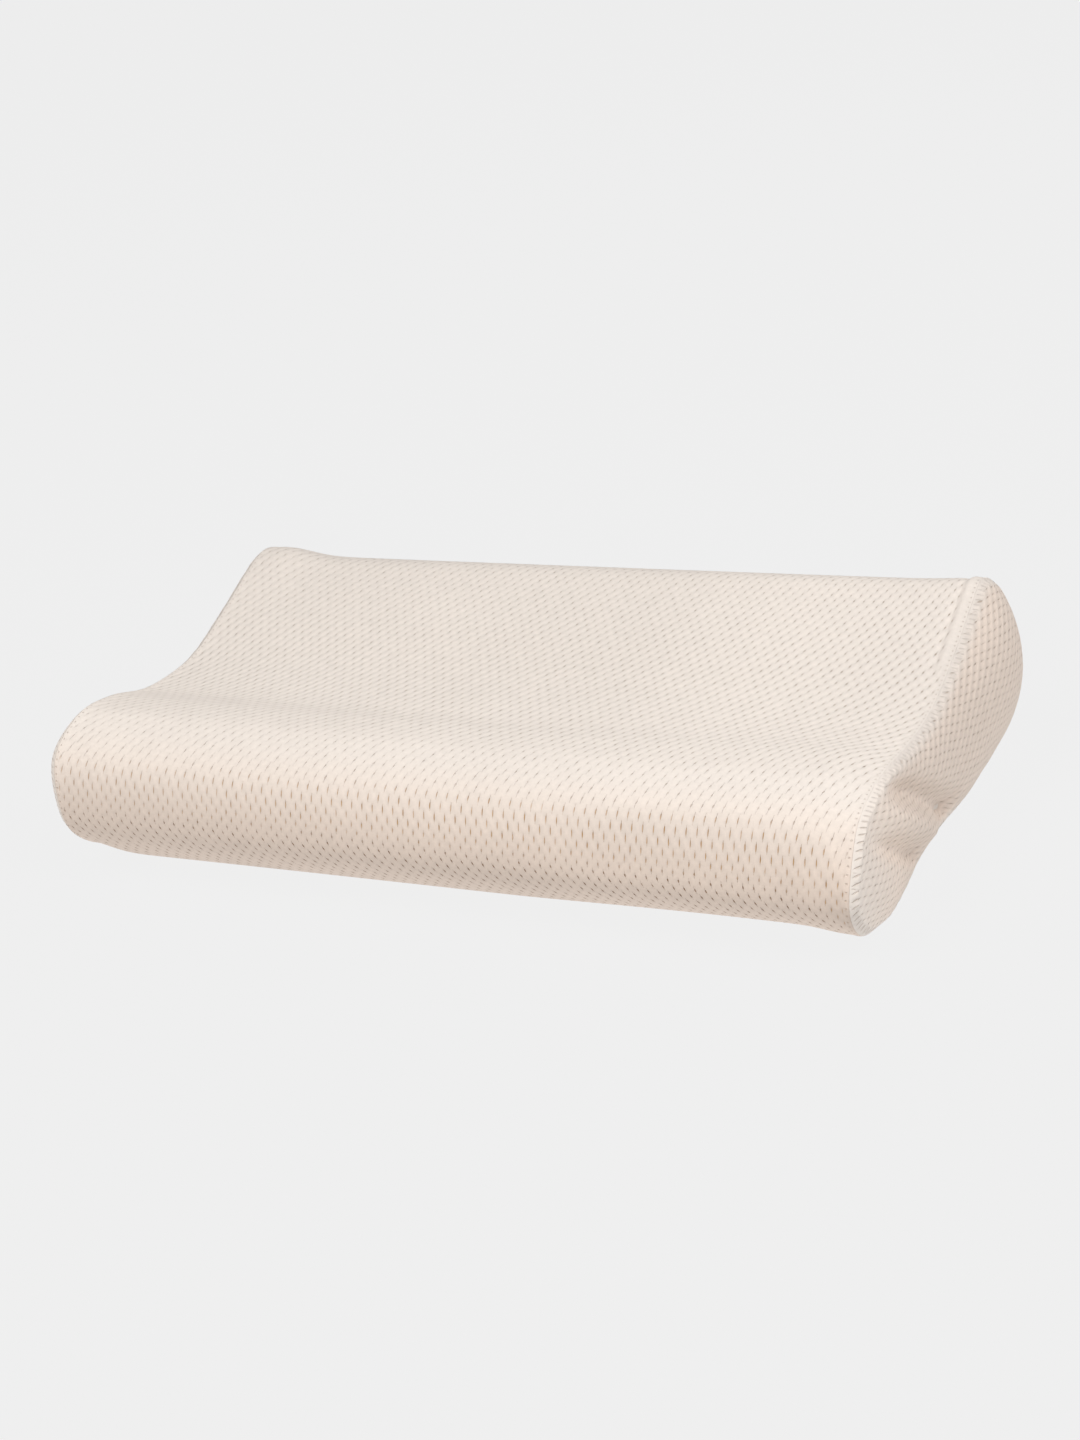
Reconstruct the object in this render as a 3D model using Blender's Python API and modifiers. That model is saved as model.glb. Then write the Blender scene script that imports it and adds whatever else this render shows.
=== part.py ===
# A contour bed pillow: a wave-shaped filled body in a fitted knitted cover, with a sewn panel over each end.
# +X runs along the pillow from the left end to the right end, +Y from the low front lobe to the high back
# lobe, and +Z up. The origin is at the middle of the footprint, on the surface that the pillow rests on.

import bmesh
import bpy
import numpy as np

MM = 0.001

OBJECT_NAME = "contour_pillow"
SEAM_X = 242 * MM
GAP = 0.3 * MM
# Brings the origin to the middle of the footprint, because the right panel is the fuller one.
FOOTPRINT_SHIFT = (-4.4 * MM, -5.1 * MM, 0.0)

# Cage resolution: columns go from the front to the back, and rows from the underside to the top of an end.
BODY_COLUMNS = 16
BODY_ROWS = 5
PANEL_COLUMNS = 28
PANEL_ROWS = 9
SMOOTHING_LEVELS = 1

# The closed outline of the pillow's section: a row for each key point, from the front foot up over the top and
# back along the underside. Each holds y and z in mm at the left seam and at the right seam.
OUTLINE_KEYS = (
    # name, left y, left z, right y, right z
    ("front foot", -98, 0, -96, 0),
    ("front undercut", -123, 13, -129, 11),
    ("front nose", -141, 39, -148, 36),
    ("front brow", -138, 76, -131, 69),
    ("low lobe front", -108, 92, -104, 79),
    ("low lobe", -75, 90, -76, 80),
    ("low slope", -39, 80, -41, 77),
    ("valley", -2, 78, -2, 77),
    ("rise", 26, 82, 26, 82),
    ("high slope", 60, 94, 61, 93),
    ("high lobe front", 93, 105, 92, 104),
    ("high lobe", 121, 109, 118, 111),
    ("back brow", 145, 96, 146, 97),
    ("upper back", 156, 69, 158, 70),
    ("lower back", 156, 39, 158, 39),
    ("back undercut", 149, 12, 150, 12),
    ("back foot", 125, 0, 125, 0),
    ("back sole", 85, 0, 85, 0),
    ("front sole", -60, 0, -60, 0),
)
# The keys that divide the outline into front, top, back and underside: undercut, brow, brow and undercut.
CORNER_KEYS = (1, 3, 12, 15)
# The height over which the underside's flatness fades out.
FLAT_FADE = 12 * MM

# How the cover stands off the plain section near a seam: a row for each ring of the body, from a seam in.
SEAM_RINGS = (
    # distance from the seam in mm, offset of the surface in mm
    (0, 1.2),
    (2, 1.0),
    (6, -0.7),
    (14, -0.3),
    (30, 0.0),
    (60, 0.4),
    (110, 0.8),
    (170, 1.0),
)

# Corners where the cover is pulled out past the plain section.
CORNER_FLARES = (
    # name, side, y, z, distance from the seam, width round, fade along the pillow, offset, all in mm
    ("left high corner", -1, 120, 110, 11, 34, 24, 5.5),
    ("right high corner", 1, 116, 112, 4, 34, 24, 1.5),
    ("right front corner", 1, -134, 20, 0, 26, 20, 3.0),
)

# How far the underside is drawn up at the seams: everywhere a little, and more at these places.
SEAM_LIFT = 2.5
SEAM_LIFT_FADE = 16 * MM
LIFT_HEIGHT = 40 * MM
LIFTED_PLACES = (
    # side, y, width along the seam, extra lift, all in mm
    (-1, -112, 34, 4.0),
    (-1, 40, 70, 2.0),
    (1, -14, 48, 7.5),
    (1, 118, 34, 3.0),
)

# Rim and crown of the end panels past their seams. The crown changes from the front to the back of a panel.
RIM_DEPTH = 1.6 * MM
RIM_INSET = 0.8
CROWN_STATIONS = (
    # share of the way from front to back, left crown, right crown, both in mm
    (0.0, 5, 5),
    (0.25, 7, 7),
    (0.5, 9, 9),
    (0.72, 12, 19),
    (0.9, 13, 27),
    (1.0, 12, 26),
)
CROWN_ACROSS_POWER = 5.0
CROWN_UP_POWER = 2.4

# Loose folds of the end panels: soft straight troughs, and ridges where the depth is negative.
PANEL_FOLDS = (
    # name, side, start y, start z, end y, end z, width, depth, all in mm
    ("upper trough", 1, -96, 76, -2, 24, 9, 3.0),
    ("ridge", 1, -108, 70, -44, 32, 7, -1.6),
    ("lower trough", 1, -126, 56, -64, 24, 7, 2.6),
    ("foot ridge", 1, -124, 38, -84, 16, 9, -1.2),
    ("foot dent", 1, 0, 16, 30, 4, 9, 1.8),
    ("back sag", 1, 40, 62, 96, 28, 20, 1.4),
    ("left upper trough", -1, -94, 66, -14, 32, 10, 2.2),
    ("left lower trough", -1, -36, 24, 66, 14, 9, 1.6),
)
# The crown at which a fold has its full depth, so that folds fade out at the rim.
FOLD_FULL_CROWN = 5 * MM

# name, colour, roughness
COVER_FINISH = ("knitted cover", (0.86, 0.80, 0.72), 0.9)
PANEL_FINISH = ("knitted end panel", (0.82, 0.75, 0.67), 0.9)


def clear_scene():
    for old in list(bpy.data.objects):
        bpy.data.objects.remove(old, do_unlink=True)


def make_material(name, colour, roughness):
    material = bpy.data.materials.new(name)
    material.use_nodes = True
    shader = material.node_tree.nodes["Principled BSDF"]
    shader.inputs["Base Color"].default_value = (*colour, 1.0)
    shader.inputs["Roughness"].default_value = roughness
    shader.inputs["Metallic"].default_value = 0.0
    return material


def section_keys(x):
    # The key points at x, blended between the two seams.
    rows = np.array([row[1:] for row in OUTLINE_KEYS]) * MM
    share = 0.5 + 0.5 * x / SEAM_X
    return rows[:, :2] * (1 - share) + rows[:, 2:] * share


def curve_pieces(keys):
    # A closed Catmull-Rom curve through the key points, as one run of fine points from each key to the next.
    t = np.linspace(0, 1, 25)[:, None]
    before, after, beyond = np.roll(keys, 1, axis=0), np.roll(keys, -1, axis=0), np.roll(keys, -2, axis=0)
    pieces = []
    for a, b, c, d in zip(before, keys, after, beyond):
        bend = (2 * a - 5 * b + 4 * c - d) * t**2 + (3 * b - a - 3 * c + d) * t**3
        pieces.append(0.5 * (2 * b + (c - a) * t + bend))
    return pieces


def evenly_spaced(path, steps):
    # The start of each of the equal steps along a path.
    length = np.concatenate([[0], np.cumsum(np.linalg.norm(np.diff(path, axis=0), axis=1))])
    at = np.linspace(0, length[-1], steps, endpoint=False)
    return np.column_stack([np.interp(at, length, path[:, 0]), np.interp(at, length, path[:, 1])])


def outline_ring(x, columns, rows):
    # The section's outline as points: up the front, over the top, down the back and along the underside.
    pieces = curve_pieces(section_keys(x))
    sides = []
    for corner, steps in zip(range(4), (rows, columns, rows, columns)):
        start, end = CORNER_KEYS[corner], CORNER_KEYS[(corner + 1) % 4]
        count = (end - start) % len(OUTLINE_KEYS)
        run = np.vstack([pieces[(start + index) % len(pieces)] for index in range(count)])
        sides.append(evenly_spaced(run, steps))
    ring = np.vstack(sides)
    ring[:, 1] = np.maximum(ring[:, 1], 0)
    return ring


def outward(ring):
    # Unit normals of a closed outline that runs clockwise as seen from +X.
    along = np.roll(ring, -1, axis=0) - np.roll(ring, 1, axis=0)
    normal = np.column_stack([-along[:, 1], along[:, 0]])
    return normal / np.linalg.norm(normal, axis=1)[:, None]


def flare_at(points, x):
    # How far the cover is pulled out at each point of the section by the corners near x.
    total = np.zeros(len(points))
    for _, side, y, z, distance, width, fade, offset in CORNER_FLARES:
        inwards = (SEAM_X - side * x - distance * MM) / (fade * MM)
        near = np.linalg.norm(points - np.array([y, z]) * MM, axis=1) / (width * MM)
        total += offset * MM * np.exp(-near**2) * np.exp(-inwards**2)
    return total


def lift_at(points, x):
    # How far the underside is drawn up at each point of the section by the seams near x.
    total = np.zeros(len(points))
    for side in (-1, 1):
        near_seam = np.exp(-(((SEAM_X - side * x) / SEAM_LIFT_FADE) ** 2))
        total += SEAM_LIFT * MM * near_seam
        for place_side, y, width, lift in LIFTED_PLACES:
            if place_side == side:
                total += lift * MM * near_seam * np.exp(-(((points[:, 0] - y * MM) / (width * MM)) ** 2))
    return total * np.clip(1 - points[:, 1] / LIFT_HEIGHT, 0, 1)


def section(x, columns, rows, offset):
    # The outline at x, moved outwards by the offset and the flares. Only the seams lift its flat underside.
    ring = outline_ring(x, columns, rows)
    standing = np.clip(ring[:, 1] / FLAT_FADE, 0, 1)
    ring += outward(ring) * ((offset * MM + flare_at(ring, x)) * standing)[:, None]
    ring[:, 1] = np.maximum(ring[:, 1], 0) + lift_at(ring, x)
    return ring


def face_grid(ring, columns, rows):
    # Points across a section, filled in between its four sides (a Coons patch), with the first row underneath.
    front = ring[: rows + 1]
    top = ring[rows : rows + columns + 1]
    back = ring[rows + columns : 2 * rows + columns + 1][::-1]
    under = np.vstack([ring[2 * rows + columns :], ring[:1]])[::-1]
    u = np.linspace(0, 1, columns + 1)[None, :, None]
    v = np.linspace(0, 1, rows + 1)[:, None, None]
    across = under[None] * (1 - v) + top[None] * v
    upright = front[:, None] * (1 - u) + back[:, None] * u
    corners = (under[0] * (1 - u) + under[-1] * u) * (1 - v) + (top[0] * (1 - u) + top[-1] * u) * v
    return across + upright - corners


def add_ring(mesh, x, ring):
    return [mesh.verts.new((x, y, z)) for y, z in ring]


def join_rings(mesh, first, second):
    for index in range(len(first)):
        after = (index + 1) % len(first)
        mesh.faces.new((first[index], first[after], second[after], second[index]))


def close_end(mesh, rim, grid, x_at):
    # Fills a ring of points with the faces of a grid whose edge is that ring.
    rows, columns = grid.shape[0] - 1, grid.shape[1] - 1
    at = {}
    for row in range(rows + 1):
        at[row, 0] = rim[row]
        at[row, columns] = rim[2 * rows + columns - row]
    for column in range(columns + 1):
        at[rows, column] = rim[rows + column]
        at[0, column] = rim[-column % len(rim)]
    for row in range(1, rows):
        for column in range(1, columns):
            y, z = grid[row, column]
            at[row, column] = mesh.verts.new((x_at[row, column], y, z))
    for row in range(rows):
        for column in range(columns):
            lower = at[row, column], at[row, column + 1]
            upper = at[row + 1, column + 1], at[row + 1, column]
            mesh.faces.new((*lower, *upper))


def sharpen_ring(mesh, ring):
    layer = mesh.edges.layers.float.get("crease_edge") or mesh.edges.layers.float.new("crease_edge")
    for index, vert in enumerate(ring):
        edge = mesh.edges.get((vert, ring[(index + 1) % len(ring)]))
        edge[layer] = 1.0


def finish_object(name, mesh, collection, finish):
    bmesh.ops.recalc_face_normals(mesh, faces=mesh.faces)
    data = bpy.data.meshes.new(name)
    mesh.to_mesh(data)
    mesh.free()
    data.materials.append(make_material(*finish))
    data.polygons.foreach_set("use_smooth", [True] * len(data.polygons))
    made = bpy.data.objects.new(name, data)
    made.location = FOOTPRINT_SHIFT
    collection.objects.link(made)
    smoothing = made.modifiers.new("Subdivision", "SUBSURF")
    smoothing.levels = smoothing.render_levels = SMOOTHING_LEVELS
    return made


def body_stations():
    # The places of the body's rings along X, with the offset of the surface at each.
    left = [(-SEAM_X + distance * MM, offset) for distance, offset in SEAM_RINGS]
    right = [(SEAM_X - distance * MM, offset) for distance, offset in reversed(SEAM_RINGS)]
    return [*left, (0.0, SEAM_RINGS[-1][1]), *right]


def make_body(collection):
    mesh = bmesh.new()
    rings = []
    ends = []
    for x, offset in body_stations():
        x_cut = float(np.clip(x, GAP / 2 - SEAM_X, SEAM_X - GAP / 2))
        ring = section(x, BODY_COLUMNS, BODY_ROWS, offset)
        rings.append(add_ring(mesh, x_cut, ring))
        ends.append((x_cut, face_grid(ring, BODY_COLUMNS, BODY_ROWS)))
    for first, second in zip(rings, rings[1:]):
        join_rings(mesh, first, second)
    for ring, (x_cut, grid) in ((rings[0], ends[0]), (rings[-1], ends[-1])):
        close_end(mesh, ring, grid, np.full(grid.shape[:2], x_cut))
        sharpen_ring(mesh, ring)
    return finish_object("pillow_body", mesh, collection, COVER_FINISH)


def fold_depth(grid, side):
    # How far each point of an end panel is pushed in by the folds on its side.
    depth = np.zeros(grid.shape[:2])
    for _, fold_side, y0, z0, y1, z1, width, fold in PANEL_FOLDS:
        if fold_side != side:
            continue
        start = np.array([y0, z0]) * MM
        along = np.array([y1, z1]) * MM - start
        share = np.clip(((grid - start) @ along) / (along @ along), 0, 1)
        away = np.linalg.norm(grid - start - share[..., None] * along, axis=-1) / (width * MM)
        depth += fold * MM * np.exp(-away**2)
    return depth


def crown_height(grid, side):
    # The dome of an end panel: nothing at its rim, and full over its middle.
    rows, columns = grid.shape[:2]
    share, left, right = np.array(CROWN_STATIONS).T
    across = np.linspace(0, 1, columns)[None, :]
    up = np.linspace(-1, 1, rows)[:, None]
    dome = (1 - np.abs(2 * across - 1) ** CROWN_ACROSS_POWER) * (1 - np.abs(up) ** CROWN_UP_POWER)
    return dome * np.interp(across, share, left if side < 0 else right) * MM


def make_end_panel(name, side, collection):
    inner_x = side * (SEAM_X + GAP / 2)
    rim_x = side * (SEAM_X + GAP / 2 + RIM_DEPTH)
    mesh = bmesh.new()
    seam_offset = SEAM_RINGS[0][1]
    inner_outline = section(side * SEAM_X, PANEL_COLUMNS, PANEL_ROWS, seam_offset)
    outer_outline = section(side * SEAM_X, PANEL_COLUMNS, PANEL_ROWS, seam_offset - RIM_INSET)
    inner = face_grid(inner_outline, PANEL_COLUMNS, PANEL_ROWS)
    outer = face_grid(outer_outline, PANEL_COLUMNS, PANEL_ROWS)
    inner_ring = add_ring(mesh, inner_x, inner_outline)
    rim_ring = add_ring(mesh, rim_x, outer_outline)
    join_rings(mesh, inner_ring, rim_ring)
    close_end(mesh, inner_ring, inner, np.full(inner.shape[:2], inner_x))
    crown = crown_height(outer, side)
    folded = crown - fold_depth(outer, side) * np.clip(crown / FOLD_FULL_CROWN, 0, 1)
    close_end(mesh, rim_ring, outer, rim_x + side * folded)
    sharpen_ring(mesh, inner_ring)
    return finish_object(name, mesh, collection, PANEL_FINISH)


def main():
    clear_scene()
    collection = bpy.data.collections.new(OBJECT_NAME)
    bpy.context.scene.collection.children.link(collection)
    make_body(collection)
    make_end_panel("end_panel_left", -1, collection)
    make_end_panel("end_panel_right", 1, collection)


main()
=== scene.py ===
from math import cos, pi, radians, sin

import bpy
import numpy as np
from mathutils import Matrix, Vector


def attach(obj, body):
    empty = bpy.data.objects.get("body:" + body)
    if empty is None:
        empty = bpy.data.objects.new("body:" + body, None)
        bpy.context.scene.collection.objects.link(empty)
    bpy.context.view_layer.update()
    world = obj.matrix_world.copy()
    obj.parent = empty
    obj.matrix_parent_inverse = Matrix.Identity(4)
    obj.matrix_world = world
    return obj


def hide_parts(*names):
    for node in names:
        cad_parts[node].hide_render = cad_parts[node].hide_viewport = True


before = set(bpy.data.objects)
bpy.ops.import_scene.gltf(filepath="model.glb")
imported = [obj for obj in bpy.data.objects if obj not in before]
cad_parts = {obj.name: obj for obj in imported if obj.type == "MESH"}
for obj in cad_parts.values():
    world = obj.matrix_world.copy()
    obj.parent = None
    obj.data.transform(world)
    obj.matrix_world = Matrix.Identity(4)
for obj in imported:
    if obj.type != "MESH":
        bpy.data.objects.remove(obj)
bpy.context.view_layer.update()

# A contour bed pillow in a knitted cover. Lengths are in millimetres and become metres when a mesh is made.
# X runs from the left end to the right end, Y from the low front lobe to the high back lobe, Z is up.
mm = 0.001
scene = bpy.context.scene


# The pillow's section, shared by the cover and both end panels.

sectionSettings = {
    "seamX": 242.0,               # each seam is this far from the middle
    "shift": (-4.4, -5.1),        # from the section's own middle to the middle of the footprint
    # closed outline of the section, from the front foot over the top to the underside: left y and z, right y
    # and z; the points started from a scratch fit to the photograph's outline and were then moved by hand
    "outline": {
        "front foot": (-98, 0, -96, 0),
        "front undercut": (-123, 13, -129, 11),
        "front nose": (-141, 39, -148, 36),
        "front brow": (-138, 76, -131, 69),
        "low lobe front": (-108, 92, -104, 79),
        "low lobe": (-75, 90, -76, 80),
        "low slope": (-39, 80, -41, 77),
        "valley": (-2, 78, -2, 77),
        "rise": (26, 82, 26, 82),
        "high slope": (60, 94, 61, 93),
        "high lobe front": (93, 105, 92, 104),
        "high lobe": (121, 109, 118, 111),
        "back brow": (145, 96, 146, 97),
        "upper back": (156, 69, 158, 70),
        "lower back": (156, 39, 158, 39),
        "back undercut": (149, 12, 150, 12),
        "back foot": (125, 0, 125, 0),
        "back sole": (85, 0, 85, 0),
        "front sole": (-60, 0, -60, 0),
    },
    "panelCorners": ("front undercut", "front brow", "back brow", "back undercut"),
    "flatFade": 12.0,             # the flat underside fades out over this height
    "seamLift": 2.5,              # the seams draw the underside up by this
    "seamLiftFade": 16.0,
    "liftHeight": 40.0,
    # the cloth hangs free of the floor along the front: y, width, lift, then x where it starts, is full, ends
    # and has ended
    "frontLift": (-112, 18, 5.2, 30, 205, 210, 234),
    # side, y, width along the seam, extra lift
    "liftedPlaces": ((-1, -112, 34, 4.0), (-1, 40, 70, 2.0), (1, -14, 48, 7.5), (1, 118, 34, 3.0)),
    # side, y, z, distance from the seam, width round the outline, fade along the pillow, offset
    "pulledCorners": (
        (-1, 120, 110, 11, 34, 24, 5.5),
        (1, 116, 112, 4, 34, 24, 1.5),
        (1, -134, 20, 0, 26, 20, 3.0),
    ),
    "fineSteps": 60,              # from key to key of the outline, to measure its length
    "middleHeight": 45.0,
}

outlineNames = list(sectionSettings["outline"])
outlineKeys = np.array([sectionSettings["outline"][name] for name in outlineNames], float)


def keysAt(x):
    # keys at each x = left keys * (1 - share) + right keys * share, the share rising from 0 to 1 along X
    share = (0.5 + 0.5 * np.asarray(x) / sectionSettings["seamX"])[..., None, None]
    return outlineKeys[:, :2] * (1 - share) + outlineKeys[:, 2:] * share


def outlinePoint(keys, place):
    # closed Catmull-Rom curve: place is the number of the key plus the share t of the way to the next one,
    # and with the keys a, b, c, d around it
    # point = (2b + (c - a)t + (2a - 5b + 4c - d)t^2 + (3b - a - 3c + d)t^3) / 2
    number = np.floor(place).astype(int)
    t = (place - number)[:, None]
    count = keys.shape[-2]
    a, b, c, d = (keys[..., (number + step) % count, :] for step in (-1, 0, 1, 2))
    return 0.5 * (2 * b + (c - a) * t + (2 * a - 5 * b + 4 * c - d) * t**2 + (3 * b - a - 3 * c + d) * t**3)


def arcLength(points):
    return np.concatenate([[0.0], np.cumsum(np.linalg.norm(np.diff(points, axis=0), axis=1))])


def finePlaces(start, span):
    # close places from one key on over a number of keys, and the length of curve up to each, measured on the
    # section in the middle of the pillow
    fine = np.linspace(start, start + span, span * sectionSettings["fineSteps"] + 1)
    return fine, arcLength(outlinePoint(keysAt(0.0), fine))


def evenPlaces(start, end, steps):
    # places at equal lengths of curve from one key to another
    count = len(outlineNames)
    fine, length = finePlaces(start, (end - start) % count or count)
    return np.interp(np.linspace(0, length[-1], steps, endpoint=False), length, fine)


def lengthFromNose(place):
    # length of curve up from the front nose at each place
    sole, count = outlineNames.index("front sole"), len(outlineNames)
    fine, length = finePlaces(sole, count)
    nose = np.interp(outlineNames.index("front nose") + count, fine, length)
    return np.interp((place - sole) % count + sole, fine, length) - nose


def outwardIn(ring):
    # outward unit normals of closed sections, whose points run clockwise as seen from the right end
    run = np.roll(ring, -1, axis=-2) - np.roll(ring, 1, axis=-2)
    normal = np.stack([-run[..., 1], run[..., 0]], axis=-1)
    return normal / np.linalg.norm(normal, axis=-1, keepdims=True)


def pulledOut(ring, x):
    # sum over the corners of offset * exp(-(distance round / width)^2) * exp(-(distance along / fade)^2)
    total = np.zeros(ring.shape[:-1])
    for side, y, z, distance, width, fade, offset in sectionSettings["pulledCorners"]:
        along = (sectionSettings["seamX"] - side * x - distance) / fade
        around = np.linalg.norm(ring - np.array([y, z]), axis=-1) / width
        total += offset * np.exp(-around**2) * np.exp(-along**2)[..., None]
    return total


def eased(value, low, high):
    # 3t^2 - 2t^3 for t = 0 at low, 1 at high
    t = np.clip((value - low) / (high - low), 0, 1)
    return t * t * (3 - 2 * t)


def drawnUp(ring, x):
    # (lift + extra * exp(-((y - place) / width)^2)) * exp(-(distance from the seam / fade)^2), and along the
    # front lift * exp(-((y - place) / width)^2) * share, 1 in its part of X; none above the lift height
    total = np.zeros(ring.shape[:-1])
    for side in (-1, 1):
        inwards = sectionSettings["seamX"] - side * x
        near = np.exp(-((inwards / sectionSettings["seamLiftFade"]) ** 2))[..., None]
        total += sectionSettings["seamLift"] * near
        for placeSide, y, width, lift in sectionSettings["liftedPlaces"]:
            if placeSide == side:
                total += lift * near * np.exp(-(((ring[..., 0] - y) / width) ** 2))
    y, width, lift, start, full, end, ended = sectionSettings["frontLift"]
    share = (eased(x, start, full) * (1 - eased(x, end, ended)))[..., None]
    total += lift * share * np.exp(-(((ring[..., 0] - y) / width) ** 2))
    return total * np.clip(1 - ring[..., 1] / sectionSettings["liftHeight"], 0, 1)


def sectionAt(x, place, offset):
    # outline + outward normal * (offset + pull of the corners) where it stands off the floor, then drawn up
    ring = outlinePoint(keysAt(x), place)
    ring[..., 1] = np.maximum(ring[..., 1], 0)
    standing = np.clip(ring[..., 1] / sectionSettings["flatFade"], 0, 1)
    ring = ring + outwardIn(ring) * ((offset + pulledOut(ring, x)) * standing)[..., None]
    ring[..., 1] = np.maximum(ring[..., 1], 0) + drawnUp(ring, x)
    return ring


# distance from the seam, length along it, and share of the knit's full pattern
seamNames = ("fromSeam", "alongSeam", "patterned")


def makePiece(name, points, faces, clothLay, seamLay, flatFaces, material, wrap=0.0):
    # points, clothLay and seamLay are in millimetres; faces is an array of quads whose last corner repeats in
    # a triangle; wrap is the length once round a closed piece, whose last faces take cloth that runs on past it
    points = points + np.array([*sectionSettings["shift"], 0.0])
    sides = np.where(faces[:, 2] == faces[:, 3], 3, 4)
    mesh = bpy.data.meshes.new(name)
    mesh.vertices.add(len(points))
    mesh.vertices.foreach_set("co", (points * mm).astype(np.float32).ravel())
    corners = faces[np.arange(4)[None, :] < sides[:, None]]
    mesh.loops.add(len(corners))
    mesh.loops.foreach_set("vertex_index", corners.astype(np.int32))
    mesh.polygons.add(len(faces))
    mesh.polygons.foreach_set("loop_start", (np.cumsum(sides) - sides).astype(np.int32))
    mesh.polygons.foreach_set("use_smooth", ~flatFaces)
    mesh.update(calc_edges=True)
    lay = clothLay[faces]
    if wrap:
        lay[..., 1] += wrap * (lay[..., 1] < lay[..., 1].max(axis=1, keepdims=True) - wrap / 2)
    laid = lay[np.arange(4)[None, :] < sides[:, None]]
    mesh.uv_layers.new(name="clothLay").uv.foreach_set("vector", (laid * mm).astype(np.float32).ravel())
    for key, values in zip(seamNames, seamLay):
        mesh.attributes.new(key, "FLOAT", "POINT").data.foreach_set("value", values.astype(np.float32))
    mesh.validate()
    mesh.materials.append(material)
    piece = bpy.data.objects.new(name, mesh)
    scene.collection.objects.link(piece)
    return piece


def gridFaces(first, across, up, closed):
    # quads between rows of points numbered row by row: (column, column + 1) of one row and of the next
    column = np.arange(across if closed else across - 1)
    row = np.arange(up - 1)[:, None]
    after = (column + 1) % across
    here, above = row * across, (row + 1) * across
    return np.stack([here + column, here + after, above + after, above + column], -1).reshape(-1, 4) + first


# Shader maths: a wire is a socket that takes + - * / with numbers and other wires.

class Wire:
    def __init__(self, bench, socket):
        self.bench, self.socket = bench, socket

    def step(self, operation, *others):
        return self.bench.add("ShaderNodeMath", {"operation": operation}, dict(enumerate((self, *others))))

    def __add__(self, other):
        return self.step("ADD", other)

    def __radd__(self, other):
        return self.step("ADD", other)

    def __sub__(self, other):
        return self.step("SUBTRACT", other)

    def __rsub__(self, other):
        return self.bench.number(other).step("SUBTRACT", self)

    def __mul__(self, other):
        return self.step("MULTIPLY", other)

    def __rmul__(self, other):
        return self.step("MULTIPLY", other)

    def __truediv__(self, other):
        return self.step("DIVIDE", other)

    def __pow__(self, other):
        return self.step("POWER", other)

    def size(self):
        return self.step("ABSOLUTE")

    def nearest(self):
        return self.step("ROUND")

    def within(self, low, high):
        return self.step("MAXIMUM", low).step("MINIMUM", high)

    def ramp(self, low, high):
        # 0 at low, 1 at high, eased in between
        sockets = {"Value": self, "From Min": low, "From Max": high}
        return self.bench.add("ShaderNodeMapRange", {"interpolation_type": "SMOOTHSTEP"}, sockets)


class Bench:
    def __init__(self, name):
        self.material = bpy.data.materials.new(name)
        self.material.use_nodes = True
        self.tree = self.material.node_tree
        self.shader = self.tree.nodes["Principled BSDF"]

    def add(self, kind, settings, sockets, output=0):
        # makes a node, gives it its settings first, then the values or links of its sockets
        node = self.tree.nodes.new(kind)
        for key, value in settings.items():
            setattr(node, key, value)
        for key, value in sockets.items():
            self.plug(node.inputs[key], value)
        return Wire(self, node.outputs[output])

    def plug(self, socket, value):
        if isinstance(value, Wire):
            self.tree.links.new(value.socket, socket)
        else:
            socket.default_value = value

    def number(self, value):
        wire = self.add("ShaderNodeValue", {}, {})
        wire.socket.default_value = value
        return wire

    def blend(self, factor, first, second, way="MIX"):
        settings = {"data_type": "RGBA", "blend_type": way}
        return self.add("ShaderNodeMix", settings, {0: factor, 6: first, 7: second}, 2)

    def noise(self, at, scale, detail):
        return self.add("ShaderNodeTexNoise", {}, {"Vector": at, "Scale": scale, "Detail": detail})


def colour(red, green, blue):
    # sRGB values from 0 to 255, as a colour picker shows them, to the linear colour that a shader takes
    share = np.array([red, green, blue]) / 255
    linear = np.where(share <= 0.04045, share / 12.92, ((share + 0.055) / 1.055) ** 2.4)
    return (*linear.tolist(), 1.0)


# The knit: a soft cream cloth with staggered slits that show the tan layer under it.

knitSettings = {
    "columnPitch": 6.32,          # between slits in a row
    "rowPitch": 6.1,              # between rows of slits, each half a column along from the last
    # where the cloth lies relaxed, and where it is pulled tight
    "slitLength": (2.2, 4.1),
    "slitWidth": (0.72, 0.52),
    "slitLean": (0.25, -0.07),    # millimetres sideways for each millimetre along
    "slitShow": (0.40, 0.92),     # how much of the layer under the knit is seen
    # added where the cloth turns under
    "slitLengthUnder": 1.1,
    "slitLeanUnder": -0.55,
    "slitShowUnder": 0.85,
    "slitEdge": 0.22,             # half the width of the slit's soft edge
    "slitDepth": 0.35,
    "slitUneven": (0.9, 1.3),     # how strongly single slits show: usual and most
    "slitFollow": 0.45,           # how far the relaxed slits follow the strength of the pads
    "tightGain": 0.91,            # share of the gain of the slits that the tight ones take
    "cream": colour(243, 233, 224),
    # painted warm shade: the warmer cast of the cloth where it lies in shade
    "warmShadeCream": colour(246, 227, 212),
    "under": (colour(164, 128, 94), colour(214, 163, 98)),
    "underFull": 0.6,             # how tight the cloth is where the second of them is seen alone
    "paintedPadShadeAndMottle": 0.075,            # painted shade: darkening of the knit between its pads, and the strength of its random unevenness
    "padRelief": 0.10,
    "tightPads": 0.45,            # strength of the wave added where the cloth is tight
    "stitchPitch": 4.2,           # of the small holes beside each seam
    "stitchSize": (0.25, 0.65),   # from the middle of a hole to where its edge starts and ends
    "yarnRelief": 0.06,
    "hemHighlight": 0.005,            # painted highlight: lightening of the smooth band beside a seam
    "grain": 1.8,                 # share of the fine noise in the knit's unevenness
    "slitGrain": 1.8,             # share of the mottle in how strongly single slits show
    # scale and detail of each noise
    "broad": (9.0, 2.0),
    "mottle": (160.0, 3.0),
    "fine": (420.0, 2.0),
    "yarn": (1500.0, 2.0),
    "sheen": 0.12,
    "sheenRoughness": 0.5,
    "roughness": 0.88,
    "specular": 0.25,
}


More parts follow.
